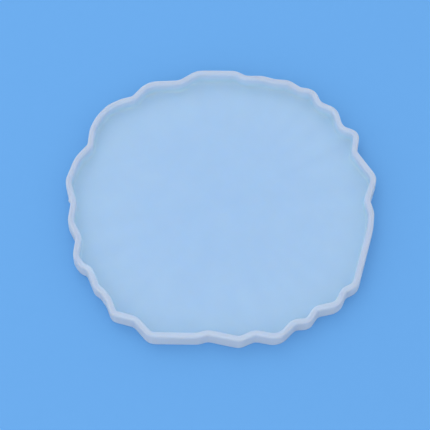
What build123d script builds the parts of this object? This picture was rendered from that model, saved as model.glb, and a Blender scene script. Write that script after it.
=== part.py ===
"""Open silicone mould for casting a wavy-edged resin coaster.

The mould lies flat with its cavity facing up.  It is one casting with two regions of different
thickness: a flat base sheet, and a rim wall that stands on the sheet and follows the same outline.
The origin is on the underside, under the middle of the outline.  X is across, Y is front to back,
Z is up.  All sizes are in millimetres.
"""

import os

from build123d import *

# Overall size
WIDTH = 152.4
DEPTH = 152.4
HEIGHT = 8.0

# Thicknesses of the silicone
SHEET_THICKNESS = 1.5
WALL_THICKNESS = 2.9

# Rounded edges
RIM_ROUND = 1.0
UNDERSIDE_ROUND = 0.3

# Corners of the outline, anticlockwise: x, y and corner radius, as drawn before the outline is
# stretched to the overall size.  The radius is that of the wall's tighter face: the cavity face at a
# lobe, which points outwards, and the outer face at a notch.
RIGHT_BACK_CORNERS = [
    (72.7, -0.8, 1.5),
    (77.0, 12.1, 4.6),
    (67.7, 27.2, 1.5),
    (69.6, 38.8, 2.6),
    (61.2, 42.2, 4.5),
    (59.1, 52.9, 5.1),
    (50.7, 57.0, 4.0),
    (48.0, 65.0, 4.6),
    (40.9, 65.8, 3.0),
    (35.0, 70.4, 5.6),
    (27.8, 71.0, 4.0),
    (21.3, 73.1, 4.6),
    (12.7, 73.2, 5.0),
    (8.2, 76.2, 5.1),
]
LEFT_BACK_CORNERS = [
    (-12.7, 76.4, 7.6),
    (-21.5, 70.3, 6.0),
    (-37.9, 69.6, 9.6),
    (-45.2, 60.4, 1.5),
    (-50.6, 58.8, 8.6),
    (-57.5, 55.3, 10.6),
    (-62.9, 48.7, 16.6),
    (-66.0, 41.2, 14.6),
    (-66.6, 31.3, 1.5),
    (-72.6, 23.9, 16.6),
    (-76.8, 10.1, 7.1),
]
LEFT_FRONT_CORNERS = [
    (-73.3, -2.3, 3.0),
    (-74.5, -12.8, 5.1),
    (-70.1, -21.6, 1.5),
    (-71.1, -32.1, 4.1),
    (-67.4, -37.7, 2.6),
    (-63.9, -39.4, 1.2),
    (-60.0, -49.1, 1.6),
    (-57.0, -51.4, 1.2),
    (-54.1, -55.8, 3.0),
    (-51.4, -63.1, 1.6),
    (-40.9, -66.1, 5.0),
    (-33.9, -74.7, 3.6),
    (-10.8, -75.0, 3.1),
    (-6.3, -73.6, 3.0),
]
RIGHT_FRONT_CORNERS = [
    (8.5, -77.0, 3.6),
    (15.5, -73.6, 4.0),
    (27.1, -76.0, 6.1),
    (34.5, -67.6, 4.0),
    (41.2, -67.5, 3.1),
    (45.2, -60.9, 2.0),
    (55.6, -58.5, 5.1),
    (58.8, -51.0, 2.0),
    (64.5, -48.2, 4.6),
    (73.3, -16.4, 16.6),
    (74.4, -7.8, 7.1),
]
CORNERS = RIGHT_BACK_CORNERS + LEFT_BACK_CORNERS + LEFT_FRONT_CORNERS + RIGHT_FRONT_CORNERS

# Rounding the corners trims the outline a little, so its fit to the overall size is repeated.
FITTING_PASSES = 3


def outer_radius(before, corner, after, tight_radius):
    """Radius of the outer face at a corner: a lobe's is larger by the wall, a notch's is the tight one."""
    is_lobe = (corner - before).cross(after - corner).Z > 0
    return tight_radius + WALL_THICKNESS if is_lobe else tight_radius


def rounded_face(corners):
    """Flat face inside straight runs between the corners, with an arc tangent to both runs at each."""
    points = [Vector(x, y) for x, y, _ in corners]
    radii = [
        outer_radius(points[i - 1], points[i], points[(i + 1) % len(points)], corners[i][2])
        for i in range(len(points))
    ]
    return make_face(FilletPolyline(points, radius=radii, close=True))


def stretched(corners):
    """The corners moved so that the outline comes nearer to WIDTH by DEPTH, centred on the origin."""
    box = rounded_face(corners).bounding_box()
    middle = box.center()
    stretch_x = WIDTH / box.size.X
    stretch_y = DEPTH / box.size.Y
    stretch_radius = min(stretch_x, stretch_y)
    return [
        ((x - middle.X) * stretch_x, (y - middle.Y) * stretch_y, radius * stretch_radius)
        for x, y, radius in corners
    ]


def outer_face():
    """The mould's outline as a flat face, WIDTH by DEPTH and centred on the origin."""
    corners = CORNERS
    for _ in range(FITTING_PASSES):
        corners = stretched(corners)
    return rounded_face(corners)


def base_sheet(outline):
    """Flat sheet under the cavity and the wall, with its lower outer edge rounded."""
    sheet = extrude(outline, amount=SHEET_THICKNESS)
    return fillet(sheet.edges().group_by(Axis.Z)[0], radius=UNDERSIDE_ROUND)


def rim_wall(outline):
    """Wall of even thickness that stands on the sheet's edge, with both edges of its rim rounded."""
    cavity = offset(outline, amount=-WALL_THICKNESS)
    wall = extrude(outline - cavity, amount=HEIGHT - SHEET_THICKNESS)
    wall = fillet(wall.edges().group_by(Axis.Z)[-1], radius=RIM_ROUND)
    return Pos(0, 0, SHEET_THICKNESS) * wall


outline = outer_face()
os.makedirs("parts", exist_ok=True)
export_step(base_sheet(outline), "parts/base_sheet.step")
export_step(rim_wall(outline), "parts/rim_wall.step")
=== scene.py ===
# %% [markdown]
# # A soft silicone mould for casting a wavy-edged resin coaster
#
# The real object is one casting of milky silicone: a thin flat sheet with an upright wall round its
# edge, in the outline of a slice of agate. Resin is poured to the level of the rim, and the cured
# coaster is peeled out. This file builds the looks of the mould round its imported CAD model, in metres:
# first the outline, then the one surface of the casting, then the silicone, the light and the camera.

# %% Load the CAD model as the fixed frame
import math

import bpy
import numpy as np
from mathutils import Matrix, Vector


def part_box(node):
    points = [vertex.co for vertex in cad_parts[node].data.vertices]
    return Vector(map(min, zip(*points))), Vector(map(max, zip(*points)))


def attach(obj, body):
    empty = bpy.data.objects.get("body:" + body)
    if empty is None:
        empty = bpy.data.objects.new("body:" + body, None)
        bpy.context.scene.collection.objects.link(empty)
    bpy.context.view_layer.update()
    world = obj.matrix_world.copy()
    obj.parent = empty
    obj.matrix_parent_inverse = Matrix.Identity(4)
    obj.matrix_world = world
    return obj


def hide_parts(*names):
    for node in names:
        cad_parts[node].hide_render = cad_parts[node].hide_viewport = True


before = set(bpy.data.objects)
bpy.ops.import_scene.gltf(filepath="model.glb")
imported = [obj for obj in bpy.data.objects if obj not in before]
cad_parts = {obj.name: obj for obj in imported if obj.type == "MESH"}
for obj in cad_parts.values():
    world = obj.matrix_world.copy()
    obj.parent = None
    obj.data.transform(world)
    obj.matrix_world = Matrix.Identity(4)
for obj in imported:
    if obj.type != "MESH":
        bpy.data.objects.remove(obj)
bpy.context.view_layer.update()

# %% [markdown]
# ## Sizes
#
# The two heights come from the CAD model's own boxes. The sizes that a box can't tell are named here,
# each once: how thick the wall is, and how its edges are rounded. Silicone is poured, so no edge of it
# is sharp: it creeps up the master in a small hollow curve where the wall meets the sheet.

# %% Sizes in metres
MM = 0.001
SHEET_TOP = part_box("base_sheet")[1].z
RIM_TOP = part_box("rim_wall")[1].z
WALL_THICKNESS = 2.9 * MM
INNER_RIM_ROUND = 1.3 * MM
OUTER_RIM_ROUND = 1.1 * MM
FOOT_ROUND = 1.3 * MM
UNDERSIDE_ROUND = 0.35 * MM
print(f"sheet {SHEET_TOP / MM:.2f} mm thick, rim {RIM_TOP / MM:.2f} mm above the table")

# %% [markdown]
# ## The outline
#
# The CAD sheet's upper face has vertices only round its edge, so those vertices are the outline. They
# are put in order by their angle about the middle, which works because every ray from the middle meets
# this outline once. The CAD arcs arrive as short straight chords. Real silicone shows no chords, so the
# ring is read again at even steps and blurred a little along its length. A blur in frequencies is exact
# for a closed ring, and leaves no seam where the ring starts.

# %% Read the outline from the CAD sheet
RING_POINTS = 1000
SOFTENING = 0.55 * MM
TOP_BAND = 0.01 * MM
SAME_PLACE_DECIMALS = 7


def outline_from_cad(node):
    """The node's upper edge as an (n, 2) ring, anticlockwise: its top vertices, sorted by their angle
    about the origin."""
    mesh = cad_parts[node].data
    corners = np.empty(len(mesh.vertices) * 3)
    mesh.vertices.foreach_get("co", corners)
    corners = corners.reshape(-1, 3)
    top = corners[corners[:, 2] > corners[:, 2].max() - TOP_BAND, :2]
    top = np.unique(np.round(top, SAME_PLACE_DECIMALS), axis=0)
    return top[np.argsort(np.arctan2(top[:, 1], top[:, 0]))]


def even_ring(ring, count):
    """The same ring at evenly spaced lengths: each coordinate is interpolated against the distance
    walked round the ring."""
    closed = np.vstack([ring, ring[:1]])
    walked = np.concatenate([[0.0], np.cumsum(np.linalg.norm(np.diff(closed, axis=0), axis=1))])
    steps = np.arange(count) * walked[-1] / count
    return np.stack([np.interp(steps, walked, closed[:, axis]) for axis in range(2)], axis=1)


def ring_length(ring):
    """The distance once round the ring."""
    return np.linalg.norm(np.roll(ring, -1, axis=0) - ring, axis=1).sum()


def blurred_ring(ring, reach):
    """The ring convolved with a Gaussian along its length. Each harmonic of the ring is multiplied by
    exp(-(2 pi f reach)^2 / 2), where f is how many times it repeats in a metre."""
    repeats = np.fft.rfftfreq(len(ring), d=ring_length(ring) / len(ring))
    keep = np.exp(-0.5 * (2 * np.pi * repeats * reach) ** 2)
    return np.fft.irfft(np.fft.rfft(ring, axis=0) * keep[:, None], n=len(ring), axis=0)


outline = blurred_ring(even_ring(outline_from_cad("base_sheet"), RING_POINTS), SOFTENING)
print(f"outline {ring_length(outline) / MM:.0f} mm round, {len(outline)} points")

# %% [markdown]
# ## Which way is outwards
#
# Walls stand square to the outline. The direction from each point's neighbour behind to its neighbour
# ahead runs along the outline, and a quarter turn clockwise from that points outwards, because the ring
# runs anticlockwise.

# %% The outward direction at each point of the outline
along = np.roll(outline, -1, axis=0) - np.roll(outline, 1, axis=0)
along /= np.linalg.norm(along, axis=1)[:, None]
outward = np.stack([along[:, 1], -along[:, 0]], axis=1)
print("outward directions:", outward.shape)

# %% [markdown]
# ## What a soft wall does
#
# A wall of soft rubber never stands as straight as it was drawn. Its rim dips a little where the pour
# ran short or the sheet below it is slack, and it leans in by a fraction of a millimetre. Both are slow
# waves round the ring. A sum of whole-number waves with random starts joins up with itself, and a fixed
# seed gives the same wall every time.

# %% Slow waves round the rim
SLACK_SEED = 11
RIM_DIP = 0.16 * MM
RIM_LEAN = 0.30 * MM
DIP_WAVES = (2, 14)
LEAN_WAVES = (3, 18)
dice = np.random.default_rng(SLACK_SEED)


def slow_waves(lowest, highest):
    """One value from 0 to 1 for each outline point: cosines that fit the ring from lowest to highest
    times, each with a random start, added up and stretched to fill 0 to 1."""
    turn = np.arange(RING_POINTS) * 2 * np.pi / RING_POINTS
    counts = np.arange(lowest, highest + 1)
    starts = dice.uniform(0, 2 * np.pi, len(counts))
    summed = np.cos(counts[:, None] * turn + starts[:, None]).sum(axis=0)
    return (summed - summed.min()) / (summed.max() - summed.min())


rim_dip = RIM_DIP * slow_waves(*DIP_WAVES)
rim_lean = RIM_LEAN * slow_waves(*LEAN_WAVES)
print(f"rim dips up to {rim_dip.max() / MM:.2f} mm and leans in up to {rim_lean.max() / MM:.2f} mm")

# %% [markdown]
# ## The profile
#
# Cut the mould from its middle outwards and the cut looks the same all the way round: the floor, a
# hollow curve up into the wall, a rounded rim, the outer face, a rounded lower edge, and back under. So
# the whole casting is one profile carried round the outline. A profile point is an inset from the
# outline and a height.
#
# Each part of the profile also says how deep the silicone is behind it for an eye that looks down on
# the mould, in millimetres. A look into the sheet goes through about 1.5 mm of silicone, but a look
# into the rim goes far down into the wall. The material turns this depth into cloudiness, so it has to
# be known point by point. Two parts of it are painted light rather than depth. Near the wall the sheet
# is given more depth than it has, a painted lift of the shade the wall casts on it. The inner face is
# given a depth that climbs towards the rim, painted shading that makes it lighter near the rim and
# darker at its foot.

# %% Arcs and straight lines of a profile


def arc(centre, radius, start, end, steps):
    """Points (inset, height) of an arc: the centre plus the radius times the cosine of the angle along
    the inset and its sine along the height. Angles in degrees, and 0 points inwards."""
    angle = np.radians(np.linspace(start, end, steps))
    return np.array(centre) + radius * np.stack([np.cos(angle), np.sin(angle)], axis=1)


def straight(start, end, steps):
    """Points (inset, height) evenly spaced between start and end, without those two."""
    share = np.linspace(0, 1, steps + 2)[1:-1, None]
    return np.array(start) * (1 - share) + np.array(end) * share


# %% How deep the silicone is behind each part in millimetres, two of them raised as painted light
DEPTH_MIDDLE = 1.4
# Painted light: the sheet's depth at the foot of the wall, raised so that the sheet turns whiter where the
# wall's shade falls.
PAINTED_LIGHT_DEPTH_AT_FOOT = 2.6
DEPTH_SHEET = 1.5
DEPTH_INNER_FACE = 3.2
# Painted shading: the depth at the top of the inner face is set higher than at its foot, so that the face
# looks lighter near the rim and darker at the foot.
PAINTED_LIGHT_DEPTH_INNER_TOP = 4.4
DEPTH_RIM = 4.8
DEPTH_OUTER_FACE = 7.0
DEPTH_UNDER_WALL = 4.0
print("depths: sheet", DEPTH_SHEET, "rim", DEPTH_RIM, "outer face", DEPTH_OUTER_FACE)

# %% The profile from the foot of the inner face round to the underside
FOOT_INSET = WALL_THICKNESS + FOOT_ROUND
FOOT_TOP = SHEET_TOP + FOOT_ROUND
INNER_SHOULDER = RIM_TOP - INNER_RIM_ROUND
OUTER_SHOULDER = RIM_TOP - OUTER_RIM_ROUND

foot_curve = arc((FOOT_INSET, FOOT_TOP), FOOT_ROUND, 270, 180, steps=8)
inner_face = straight((WALL_THICKNESS, FOOT_TOP), (WALL_THICKNESS, INNER_SHOULDER), steps=6)
inner_rim = arc((WALL_THICKNESS - INNER_RIM_ROUND, INNER_SHOULDER), INNER_RIM_ROUND, 0, 90, steps=9)
outer_rim = arc((OUTER_RIM_ROUND, OUTER_SHOULDER), OUTER_RIM_ROUND, 90, 180, steps=11)
outer_face = straight((0, OUTER_SHOULDER), (0, UNDERSIDE_ROUND), steps=7)
lower_edge = arc((UNDERSIDE_ROUND, UNDERSIDE_ROUND), UNDERSIDE_ROUND, 180, 270, steps=6)
under_wall = straight((UNDERSIDE_ROUND, 0), (FOOT_INSET, 0), steps=3)
under_foot = np.array([(FOOT_INSET, 0)])

profile_parts = [
    (foot_curve, PAINTED_LIGHT_DEPTH_AT_FOOT, DEPTH_INNER_FACE),
    (inner_face, DEPTH_INNER_FACE, PAINTED_LIGHT_DEPTH_INNER_TOP),
    (inner_rim, PAINTED_LIGHT_DEPTH_INNER_TOP, DEPTH_RIM),
    (outer_rim, DEPTH_RIM, DEPTH_OUTER_FACE),
    (outer_face, DEPTH_OUTER_FACE, DEPTH_OUTER_FACE),
    (lower_edge, DEPTH_OUTER_FACE, DEPTH_UNDER_WALL),
    (under_wall, DEPTH_UNDER_WALL, DEPTH_UNDER_WALL),
    (under_foot, DEPTH_SHEET, DEPTH_SHEET),
]
profile = np.vstack([points for points, _, _ in profile_parts])
profile_depth_and_painted_light = np.concatenate([
    np.linspace(first, last, len(points)) for points, first, last in profile_parts
])
print("profile points:", len(profile))

# %% [markdown]
# ## One surface for the whole casting
#
# Every profile point makes a ring, and rings next to each other are joined by quads. The dip and the
# lean act in proportion to the height above the sheet, so the foot of the wall stays where the CAD has
# it. On the floor, insets would run into each other, so there the rings are the foot's ring shrunk
# towards the middle, and a fan of triangles closes the last one. The underside is done the same way.
#
# One closed surface is right for a see-through casting. Two solids that touch would show the join
# between them as a cloudy plane inside the silicone.

# %% Rings of the wall


def wall_rings():
    """Rings (k, n, 3) of the wall: the outline moved inwards by the profile's inset plus the lean, and
    up by the profile's height less the dip, where lean and dip grow from 0 at the sheet to their full
    value at the rim."""
    climb = np.clip((profile[:, 1] - SHEET_TOP) / (RIM_TOP - SHEET_TOP), 0, 1)[:, None]
    inset = profile[:, 0, None] + climb * rim_lean
    height = profile[:, 1, None] - climb * rim_dip
    flat = outline[None] - outward[None] * inset[..., None]
    return np.concatenate([flat, height[..., None]], axis=2)


# %% [markdown]
# ## A nib of flash
#
# On the left edge the real mould has a nib of flash: a drop of silicone that crept out while it cured,
# and was never trimmed. It is 0.8 mm proud and sits near the top of the outer face. Here it is a
# bell-shaped push outwards, so it needs no piece of its own.

# %% Push the nib out of the wall
NIB_PLACE = np.array((-73.9, -0.8)) * MM
NIB_PROUD = 0.8 * MM
NIB_WIDTH = 0.55 * MM
NIB_HEIGHT = 6.6 * MM
NIB_TALL = 0.8 * MM


def with_nib(rings):
    """The rings with points moved outwards by two bells multiplied together: one of the distance along
    the outline from the nib, and one of the height from the nib's middle."""
    sideways = np.linalg.norm(outline - NIB_PLACE, axis=1)
    sideways = sideways - sideways.min()
    upwards = rings[..., 2] - NIB_HEIGHT
    bell = np.exp(-0.5 * (sideways / NIB_WIDTH) ** 2) * np.exp(-0.5 * (upwards / NIB_TALL) ** 2)
    on_outer_side = (profile[:, 0] < WALL_THICKNESS / 2)[:, None]
    pushed = rings.copy()
    pushed[..., :2] += outward[None] * (NIB_PROUD * bell * on_outer_side)[..., None]
    return pushed


wall = with_nib(wall_rings())
print(f"wall: {wall.shape[0]} rings of {wall.shape[1]} points")

# %% Floor and underside, from the wall's first and last rings
FLOOR_RINGS = 24
UNDER_RINGS = 7

to_foot = np.linspace(0, 1, FLOOR_RINGS + 1)[1:-1, None, None]
floor_rings = wall[0][None] * to_foot * np.array([1, 1, 0]) + np.array([0, 0, SHEET_TOP])
to_middle = np.linspace(1, 0, UNDER_RINGS + 1)[1:-1, None, None]
under_rings = wall[-1][None] * to_middle
casting_rings = np.vstack([floor_rings, wall, under_rings])
casting_poles = np.array([(0, 0, SHEET_TOP), (0, 0, 0)])
print(f"casting: {casting_rings.shape[0]} rings")


# %% Make the casting's mesh


def closed_surface(name, rings, poles):
    """A closed mesh from rings of points, given from the upper pole outwards, down and back to the
    lower pole: quads between neighbouring rings and a fan of triangles from each pole to its ring,
    every face turned so that it looks out of the solid."""
    rows, columns = rings.shape[:2]
    points = np.vstack([rings.reshape(-1, 3), poles])
    index = np.arange(rows * columns).reshape(rows, columns)
    ahead = np.roll(index, -1, axis=1)
    quads = np.stack([index[:-1], index[1:], ahead[1:], ahead[:-1]], axis=-1).reshape(-1, 4)
    upper = np.full(columns, rows * columns)
    upper_fan = np.stack([upper, index[0], ahead[0]], axis=-1)
    lower_fan = np.stack([upper + 1, ahead[-1], index[-1]], axis=-1)
    mesh = bpy.data.meshes.new(name)
    mesh.from_pydata(points.tolist(), [], quads.tolist() + upper_fan.tolist() + lower_fan.tolist())
    mesh.update()
    mesh.shade_smooth()
    made = bpy.data.objects.new(name, mesh)
    bpy.context.scene.collection.objects.link(made)
    return made


casting = closed_surface("silicone_casting", casting_rings, casting_poles)
print("faces:", len(casting.data.polygons))

# %% [markdown]
# ## Depth of silicone, with painted light, stored on the surface
#
# The depth goes into the mesh as a named attribute, one number for each point, which the material reads
# back. On the floor it isn't quite even. The sheet is a little thinner, and clearer, in the middle. Near
# the wall it is given much more depth, so it turns cloudier and whiter there. That is painted light,
# which lifts the shade the wall casts on the sheet.

# %% Store the depth, ring by ring


def floor_depth_with_painted_light(share):
    """Depth on the floor at a share of the way from the middle to the foot: the middle's depth, plus a
    part that grows as the share cubed to the depth at the foot. That part is painted light: it makes the
    sheet cloudier and whiter near the wall, where the wall's shade falls."""
    return DEPTH_MIDDLE + (PAINTED_LIGHT_DEPTH_AT_FOOT - DEPTH_MIDDLE) * share ** 3


ring_depth_and_painted_light = np.concatenate([
    floor_depth_with_painted_light(to_foot.ravel()),
    profile_depth_and_painted_light,
    np.full(len(under_rings), DEPTH_SHEET),
])
pole_depth = [floor_depth_with_painted_light(0.0), DEPTH_SHEET]
point_depth_and_painted_light = np.concatenate([np.repeat(ring_depth_and_painted_light, RING_POINTS), pole_depth]).astype(np.float32)
casting.data.attributes.new("silicone_depth_and_painted_light", "FLOAT", "POINT").data.foreach_set("value", point_depth_and_painted_light)
print(f"silicone depth {point_depth_and_painted_light.min():.2f} to {point_depth_and_painted_light.max():.2f} mm")

# %% [markdown]
# ## A soft grain for every material
#
# Nothing cast or pressed is perfectly even. One shader group gives soft patches of any size: it takes a
# position and a patch size in metres, and puts out a shade from 0 to 1. The silicone uses it five times:
# for clouding, for fogged patches, for gloss, for its satin skin and for its unevenness. The card under
# the mould uses it once.

# %% The soft grain group


def soft_grain_group():
    """Shade = a noise texture read at the position divided by the patch size."""
    group = bpy.data.node_groups.new("soft_grain", "ShaderNodeTree")
    group.interface.new_socket("Position", in_out="INPUT", socket_type="NodeSocketVector")
    size = group.interface.new_socket("Patch Size", in_out="INPUT", socket_type="NodeSocketFloat")
    size.default_value = 10 * MM
    detail = group.interface.new_socket("Detail", in_out="INPUT", socket_type="NodeSocketFloat")
    detail.default_value = 2.0
    group.interface.new_socket("Shade", in_out="OUTPUT", socket_type="NodeSocketFloat")
    incoming = group.nodes.new("NodeGroupInput")
    outgoing = group.nodes.new("NodeGroupOutput")
    per_metre = group.nodes.new("ShaderNodeMath")
    per_metre.operation = "DIVIDE"
    per_metre.inputs[0].default_value = 1.0
    group.links.new(incoming.outputs["Patch Size"], per_metre.inputs[1])
    noise = group.nodes.new("ShaderNodeTexNoise")
    group.links.new(incoming.outputs["Position"], noise.inputs["Vector"])
    group.links.new(per_metre.outputs["Value"], noise.inputs["Scale"])
    group.links.new(incoming.outputs["Detail"], noise.inputs["Detail"])
    group.links.new(noise.outputs["Fac"], outgoing.inputs["Shade"])
    return group


soft_grain = soft_grain_group()
print("group:", soft_grain.name)

# %% Helpers that place nodes in a material


def grain(tree, patch_size, detail):
    """A soft_grain node in the tree, on Object coordinates, and its Shade output."""
    place = tree.nodes.new("ShaderNodeTexCoord")
    node = tree.nodes.new("ShaderNodeGroup")
    node.node_tree = soft_grain
    node.inputs["Patch Size"].default_value = patch_size
    node.inputs["Detail"].default_value = detail
    tree.links.new(place.outputs["Object"], node.inputs["Position"])
    return node.outputs["Shade"]


def ranged(tree, value, low, high, to_low, to_high):
    """A Map Range node: value from low to high becomes to_low to to_high, and stays within them."""
    node = tree.nodes.new("ShaderNodeMapRange")
    node.inputs["From Min"].default_value = low
    node.inputs["From Max"].default_value = high
    node.inputs["To Min"].default_value = to_low
    node.inputs["To Max"].default_value = to_high
    tree.links.new(value, node.inputs["Value"])
    return node.outputs["Result"]


def computed(tree, operation, first, second):
    """A Math node on two things, each either a socket or a number."""
    node = tree.nodes.new("ShaderNodeMath")
    node.operation = operation
    for socket, thing in zip(node.inputs, (first, second)):
        if isinstance(thing, (int, float)):
            socket.default_value = thing
        else:
            tree.links.new(thing, socket)
    return node.outputs["Value"]


def blended(tree, share, first, second):
    """A Mix node for colours: the first where share is 0 and the second where it is 1. Share is a
    socket, and a colour is either three numbers or a socket."""
    node = tree.nodes.new("ShaderNodeMix")
    node.data_type = "RGBA"
    tree.links.new(share, node.inputs["Factor"])
    for socket, colour in zip((node.inputs[6], node.inputs[7]), (first, second)):
        if isinstance(colour, tuple):
            socket.default_value = (*colour, 1)
        else:
            tree.links.new(colour, socket)
    return node.outputs[2]


def bumped(tree, height, strength, distance):
    """A Bump node whose height comes from a socket: strength from 0 to 1, and distance in metres is how
    far the highest shade stands above the lowest."""
    node = tree.nodes.new("ShaderNodeBump")
    node.inputs["Strength"].default_value = strength
    node.inputs["Distance"].default_value = distance
    tree.links.new(height, node.inputs["Height"])
    return node


print("helpers ready")

# %% [markdown]
# ## Milky silicone
#
# Translucent silicone is clear rubber with a haze of fine filler. Thin, it lets the colour of the table
# through. Thick, the haze wins and it turns a soft grey white. So its cloudiness follows the depth: the
# share of light that the haze stops is one minus e to the power of minus depth over clearness. That
# share is the shader's Alpha. The little light that the haze scatters back is bluish where the layer is
# thin, as in skimmed milk, and warmer where it is thick.
#
# Subsurface scattering does the rest. Light that enters the rim comes out of the faces beside it, which
# rounds the edges off and keeps the wall bright on its shaded side.

# %% The silicone's colours and clearness
CLEARNESS = 5.0
DEEPEST = 8.0
# Up the inner face the depth climbs from the inner face's stop towards the rim's, so its colour and
# cloudiness change with height. This is painted shading, lighter near the rim and darker at the foot.
COLOUR_AT_DEPTH = (
    (DEPTH_SHEET, (0.76, 1.0, 1.0)),
    (DEPTH_INNER_FACE, (0.66, 0.86, 1.0)),
    (DEPTH_RIM, (0.59, 0.63, 0.72)),
    (DEPTH_OUTER_FACE, (0.61, 0.62, 0.64)),
)
CLOUD_PATCH = 22 * MM
CLOUD_DETAIL = 2.0
CLOUD_SHADES = (0.3, 0.7)
CLOUD_SPREAD = 0.03

silicone = bpy.data.materials.new("milky_silicone")
silicone.use_nodes = True
tree = silicone.node_tree
shader = tree.nodes["Principled BSDF"]

# %% Cloudiness from depth
# The stored depth carries painted light as well as depth. It is raised near the foot of the wall, which
# lifts the wall's shade on the sheet. It also climbs up the inner face, which paints that face lighter near
# the rim.
stored_depth = tree.nodes.new("ShaderNodeAttribute")
stored_depth.attribute_name = "silicone_depth_and_painted_light"
cloud_shade = grain(tree, CLOUD_PATCH, CLOUD_DETAIL)
clouds = ranged(tree, cloud_shade, *CLOUD_SHADES, 1 - CLOUD_SPREAD, 1 + CLOUD_SPREAD)
depth = computed(tree, "MULTIPLY", stored_depth.outputs["Fac"], clouds)
let_through = computed(tree, "POWER", math.e, computed(tree, "DIVIDE", depth, -CLEARNESS))
tree.links.new(computed(tree, "SUBTRACT", 1.0, let_through), shader.inputs["Alpha"])
print("cloudiness of the sheet:", round(1 - math.exp(-DEPTH_SHEET / CLEARNESS), 2),
      "and of the rim:", round(1 - math.exp(-DEPTH_RIM / CLEARNESS), 2))

# %% Colour from depth, with faint fogged patches
FOGGED_COLOUR = (0.70, 0.90, 0.95)
FOGGED_PATCH = 5 * MM
FOGGED_DETAIL = 3.0
FOGGED_SHADES = (0.45, 0.75)
MOST_FOGGED = 0.06

milk = tree.nodes.new("ShaderNodeValToRGB")
stops = milk.color_ramp.elements
for at_depth, _ in COLOUR_AT_DEPTH[2:]:
    stops.new(at_depth / DEEPEST)
for stop, (at_depth, colour) in zip(stops, COLOUR_AT_DEPTH):
    stop.position = at_depth / DEEPEST
    stop.color = (*colour, 1)
tree.links.new(computed(tree, "DIVIDE", depth, DEEPEST), milk.inputs["Fac"])
fogged_share = ranged(tree, grain(tree, FOGGED_PATCH, FOGGED_DETAIL), *FOGGED_SHADES, 0.0, MOST_FOGGED)
fogged_milk = blended(tree, fogged_share, milk.outputs["Color"], FOGGED_COLOUR)
tree.links.new(fogged_milk, shader.inputs["Base Color"])
print("colours in the milk:", len(stops))

# %% [markdown]
# ## The skin of the silicone
#
# The master was satin, so the casting is satin too: a soft, wide shine with no mirror in it. The gloss
# changes slowly over the sheet where fingers have polished it. A very fine bump gives the dry feel of
# cured rubber, and a wider, even fainter one the slight unevenness of a sheet that lies on a table.

# %% Gloss
GLOSS_PATCH = 9 * MM
GLOSS_DETAIL = 2.0
GLOSS_SHADES = (0.3, 0.7)
ROUGHNESS_RANGE = (0.40, 0.50)

gloss = ranged(tree, grain(tree, GLOSS_PATCH, GLOSS_DETAIL), *GLOSS_SHADES, *ROUGHNESS_RANGE)
tree.links.new(gloss, shader.inputs["Roughness"])
print("roughness from", ROUGHNESS_RANGE[0], "to", ROUGHNESS_RANGE[1])

# %% Satin skin and the unevenness below it
SATIN_PATCH = 0.45 * MM
SATIN_DETAIL = 2.0
SATIN_STRENGTH = 0.25
SATIN_HEIGHT = 0.02 * MM
UNEVEN_PATCH = 12 * MM
UNEVEN_DETAIL = 1.0
UNEVEN_STRENGTH = 0.5
UNEVEN_HEIGHT = 0.25 * MM

satin = bumped(tree, grain(tree, SATIN_PATCH, SATIN_DETAIL), SATIN_STRENGTH, SATIN_HEIGHT)
unevenness = bumped(tree, grain(tree, UNEVEN_PATCH, UNEVEN_DETAIL), UNEVEN_STRENGTH, UNEVEN_HEIGHT)
tree.links.new(satin.outputs["Normal"], unevenness.inputs["Normal"])
tree.links.new(unevenness.outputs["Normal"], shader.inputs["Normal"])
print("bump heights, millimetres:", SATIN_HEIGHT / MM, "and", UNEVEN_HEIGHT / MM)

# %% Light inside the silicone, and the faint bloom on its skin
SILICONE_IOR = 1.41
SCATTER_REACH = 3.0 * MM
SCATTER_BY_COLOUR = (1.0, 0.9, 0.8)
BLOOM_WEIGHT = 0.3
BLOOM_ROUGHNESS = 0.35
BLOOM_TINT = (0.7, 0.9, 1.0)

shader.inputs["IOR"].default_value = SILICONE_IOR
shader.inputs["Subsurface Weight"].default_value = 1.0
shader.inputs["Subsurface Radius"].default_value = SCATTER_BY_COLOUR
shader.inputs["Subsurface Scale"].default_value = SCATTER_REACH
shader.inputs["Sheen Weight"].default_value = BLOOM_WEIGHT
shader.inputs["Sheen Roughness"].default_value = BLOOM_ROUGHNESS
shader.inputs["Sheen Tint"].default_value = (*BLOOM_TINT, 1)
casting.data.materials.append(silicone)
print("silicone nodes:", len(tree.nodes))

# %% Say what the casting stands for
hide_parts("base_sheet", "rim_wall")
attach(casting, "root")

# %% [markdown]
# ## The table
#
# The mould lies on a plain sheet of pale blue card. The card matters more than for most objects,
# because its colour comes through the silicone. It is a big flat square a hair below the mould, so the
# two never share a plane, and it has the soft grain of card.

# %% A sheet of pale blue card
CARD_REACH = 3.0
CARD_GAP = 0.03 * MM
CARD_COLOUR = (0.142, 0.375, 0.73)
CARD_SHADED = (0.138, 0.368, 0.72)
CARD_PATCH = 6 * MM
CARD_DETAIL = 3.0
CARD_ROUGHNESS = 0.9
CARD_SHINE = 0.1


def flat_square(name, reach, height):
    """One flat face at a height, from minus reach to reach both ways, looking up."""
    mesh = bpy.data.meshes.new(name)
    corners = [
        (-reach, -reach, height),
        (reach, -reach, height),
        (reach, reach, height),
        (-reach, reach, height),
    ]
    mesh.from_pydata(corners, [], [(0, 1, 2, 3)])
    made = bpy.data.objects.new(name, mesh)
    bpy.context.scene.collection.objects.link(made)
    return made


card = flat_square("card", CARD_REACH, -CARD_GAP)
print("card, metres:", list(card.dimensions))

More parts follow.
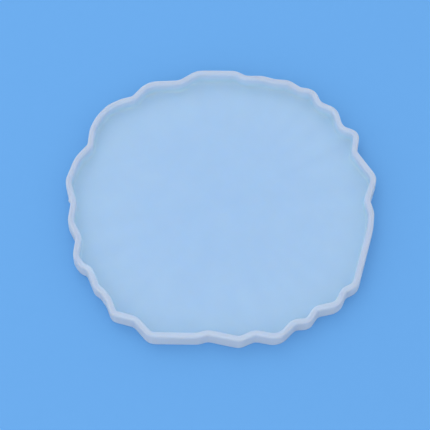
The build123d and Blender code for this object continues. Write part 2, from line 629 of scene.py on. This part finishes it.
# %% The card's finish
card_finish = bpy.data.materials.new("pale_blue_card")
card_finish.use_nodes = True
card_tree = card_finish.node_tree
card_shader = card_tree.nodes["Principled BSDF"]
card_shade = grain(card_tree, CARD_PATCH, CARD_DETAIL)
card_colour = blended(card_tree, card_shade, CARD_COLOUR, CARD_SHADED)
card_tree.links.new(card_colour, card_shader.inputs["Base Color"])
card_shader.inputs["Roughness"].default_value = CARD_ROUGHNESS
card_shader.inputs["Specular IOR Level"].default_value = CARD_SHINE
card.data.materials.append(card_finish)

# %% [markdown]
# ## Light
#
# The light is as soft as it gets: a bright room whose walls are brighter than its ceiling, a large
# softbox over the back edge and another, a little stronger, in front on the left. With so little
# direction in it, the only real shadow is the tight dark line where the wall meets the table.

# %% The room
ROOM_COLOUR = (0.91, 0.97, 1.04)
WALLS_STRENGTH = 1.35
CEILING_STRENGTH = 0.78

room = bpy.data.worlds.new("bright_room")
room.use_nodes = True
room_tree = room.node_tree
room_light = room_tree.nodes["Background"]
room_light.inputs["Color"].default_value = (*ROOM_COLOUR, 1)
direction = room_tree.nodes.new("ShaderNodeTexCoord")
split = room_tree.nodes.new("ShaderNodeSeparateXYZ")
room_tree.links.new(direction.outputs["Generated"], split.inputs["Vector"])
brightness = ranged(room_tree, split.outputs["Z"], 0.0, 1.0, WALLS_STRENGTH, CEILING_STRENGTH)
room_tree.links.new(brightness, room_light.inputs["Strength"])
bpy.context.scene.world = room
print("room light: walls", WALLS_STRENGTH, "ceiling", CEILING_STRENGTH)

# %% Two softboxes
BACK_PLACE = (-0.2, 0.6, 0.8)
BACK_SIZE = 0.8
BACK_POWER = 1.5
FRONT_PLACE = (-0.5, -0.7, 0.6)
FRONT_SIZE = 1.0
FRONT_POWER = 1.8


def softbox(name, place, size, power):
    """A square area light at a place, facing the middle of the mould."""
    lamp_data = bpy.data.lights.new(name, "AREA")
    lamp_data.shape = "SQUARE"
    lamp_data.size = size
    lamp_data.energy = power
    lamp = bpy.data.objects.new(name, lamp_data)
    lamp.location = place
    lamp.rotation_euler = Vector(place).to_track_quat("Z", "Y").to_euler()
    bpy.context.scene.collection.objects.link(lamp)


softbox("back_softbox", BACK_PLACE, BACK_SIZE, BACK_POWER)
softbox("front_softbox", FRONT_PLACE, FRONT_SIZE, FRONT_POWER)
print("softbox power, watts: back", BACK_POWER, "front", FRONT_POWER)

# %% [markdown]
# ## Camera
#
# The camera looks down at the mould from in front, about 60 degrees above the table. A long lens from 0.7 m
# keeps the far edge nearly as wide as the near one.

# %% The camera
LOOK_AT = Vector((-2.975, -4.96, 0)) * MM
ELEVATION = math.radians(60.3)
DISTANCE = 700 * MM
SENSOR_WIDTH = 36
FOCAL_LENGTH = 119.9

camera_data = bpy.data.cameras.new("camera")
camera_data.sensor_width = SENSOR_WIDTH
camera_data.lens = FOCAL_LENGTH
camera = bpy.data.objects.new("camera", camera_data)
towards_camera = Vector((0, -math.cos(ELEVATION), math.sin(ELEVATION)))
camera.location = LOOK_AT + towards_camera * DISTANCE
camera.rotation_euler = towards_camera.to_track_quat("Z", "Y").to_euler()
bpy.context.scene.collection.objects.link(camera)
bpy.context.scene.camera = camera
print("camera at", [round(value, 3) for value in camera.location])

# %% [markdown]
# ## How light is counted
#
# Light bounces many times inside and under a see-through sheet, so more bounces than usual are allowed.
# The Standard view keeps the colours as they are lit.

# %% Bounces and view
MOST_BOUNCES = 16
DIFFUSE_BOUNCES = 10

scene = bpy.context.scene
scene.cycles.max_bounces = MOST_BOUNCES
scene.cycles.diffuse_bounces = DIFFUSE_BOUNCES
scene.cycles.transparent_max_bounces = MOST_BOUNCES
scene.view_settings.view_transform = "Standard"
print("light bounces up to", MOST_BOUNCES, "times")
